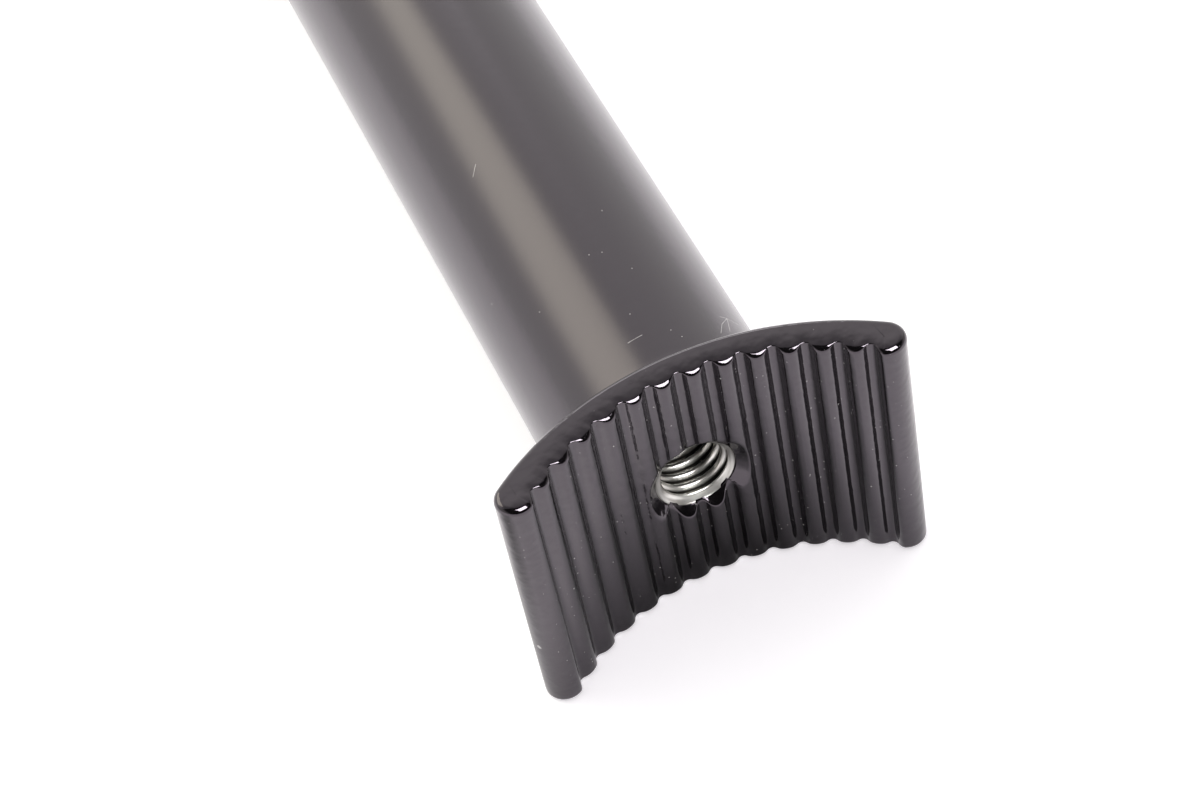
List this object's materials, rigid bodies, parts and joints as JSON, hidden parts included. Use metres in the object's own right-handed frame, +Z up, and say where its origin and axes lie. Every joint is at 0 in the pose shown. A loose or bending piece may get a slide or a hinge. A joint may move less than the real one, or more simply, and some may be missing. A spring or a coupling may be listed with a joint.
{
  "type": "bicycle seatpost",
  "caption": "Black one-piece bicycle seatpost: a straight hollow tube with an arched, ridged head and a tapped hole for the saddle bolt.",
  "frame": {"origin": "on the resting plane, under the middle of the post's length and width, as the post lies on the side of its head", "axes": "+X along the head, +Y along the tube towards its open end, +Z up, away from the surface that it lies on"},
  "size_m": [0.0438, 0.2, 0.0324],
  "materials": {
    "black_paint": "semi-gloss black paint on forged aluminium",
    "bare_thread": "bright bare metal, cut after painting"
  },
  "bodies": {
    "root": {"seatpost": "black_paint"}
  },
  "joints": []
}
